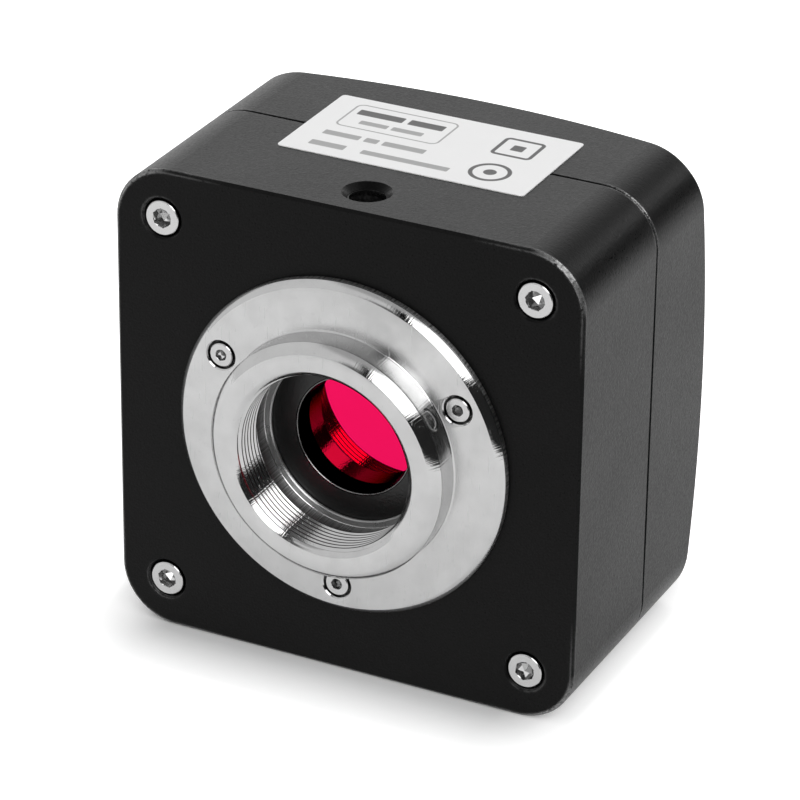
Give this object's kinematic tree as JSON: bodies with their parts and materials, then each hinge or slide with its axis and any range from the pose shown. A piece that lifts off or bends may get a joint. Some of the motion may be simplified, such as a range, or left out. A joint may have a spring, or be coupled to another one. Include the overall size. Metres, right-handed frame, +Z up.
{
  "type": "microscope camera",
  "caption": "Square black camera for a microscope, with a flanged lens mount ring, a crimson-coated filter in its bore, a tripod thread on top and a data socket in the domed back.",
  "frame": {"origin": "centre of the lens mount ring's front rim face, on the optical axis", "axes": "-Y out of the lens mount along the optical axis, +Y into the camera, +Z up, +X to the right seen from the front of the camera"},
  "size_m": [0.068, 0.0511, 0.0681],
  "materials": {
    "black_anodised": "bead-blasted and black anodised, satin",
    "nickel_ring": "turned, satin with bright bevels",
    "screw_steel": "bright stainless",
    "filter_coating": "polished, crimson interference coating",
    "black_metal": "matte black",
    "seal_rubber": "soft matte rubber",
    "clear_glass": "polished, clear",
    "sensor_ceramic": "dark ceramic",
    "sensor_silicon": "polished silicon",
    "circuit_board": "green solder mask on glass laminate",
    "chip_ceramic": "tan ceramic chips",
    "chip_plastic": "moulded black epoxy",
    "crystal_metal": "nickel can",
    "brass_metal": "turned brass",
    "connector_plastic": "black moulding",
    "port_metal": "nickel-plated folded sheet",
    "port_plastic": "pale moulding",
    "contact_gold": "gold-flashed contacts",
    "light_pipe_plastic": "clear moulded plastic",
    "label_film": "white printed film, satin"
  },
  "bodies": {
    "root": {"front_housing": "black_anodised", "rear_housing": "black_anodised", "mount_flange": "nickel_ring", "flange_screws": "screw_steel", "housing_screws": "screw_steel", "filter_glass": "filter_coating", "port_shell": "port_metal", "port_insulator": "port_plastic", "port_contacts": "contact_gold", "light_pipe": "light_pipe_plastic", "top_label": "label_film", "filter_retainer": "black_metal", "sensor_seal": "seal_rubber", "sensor_cover_glass": "clear_glass", "sensor_package": "sensor_ceramic", "sensor_die": "sensor_silicon", "sensor_board": "circuit_board", "sensor_capacitors": "chip_ceramic", "board_standoffs": "brass_metal", "board_socket": "connector_plastic", "board_header": "connector_plastic", "main_board": "circuit_board", "main_board_screws": "screw_steel", "processor": "chip_plastic", "memory_chips": "chip_plastic", "port_controller": "chip_plastic", "power_inductors": "chip_plastic", "clock_crystal": "crystal_metal", "board_capacitors": "chip_ceramic", "status_led": "chip_ceramic"}
  },
  "joints": []
}
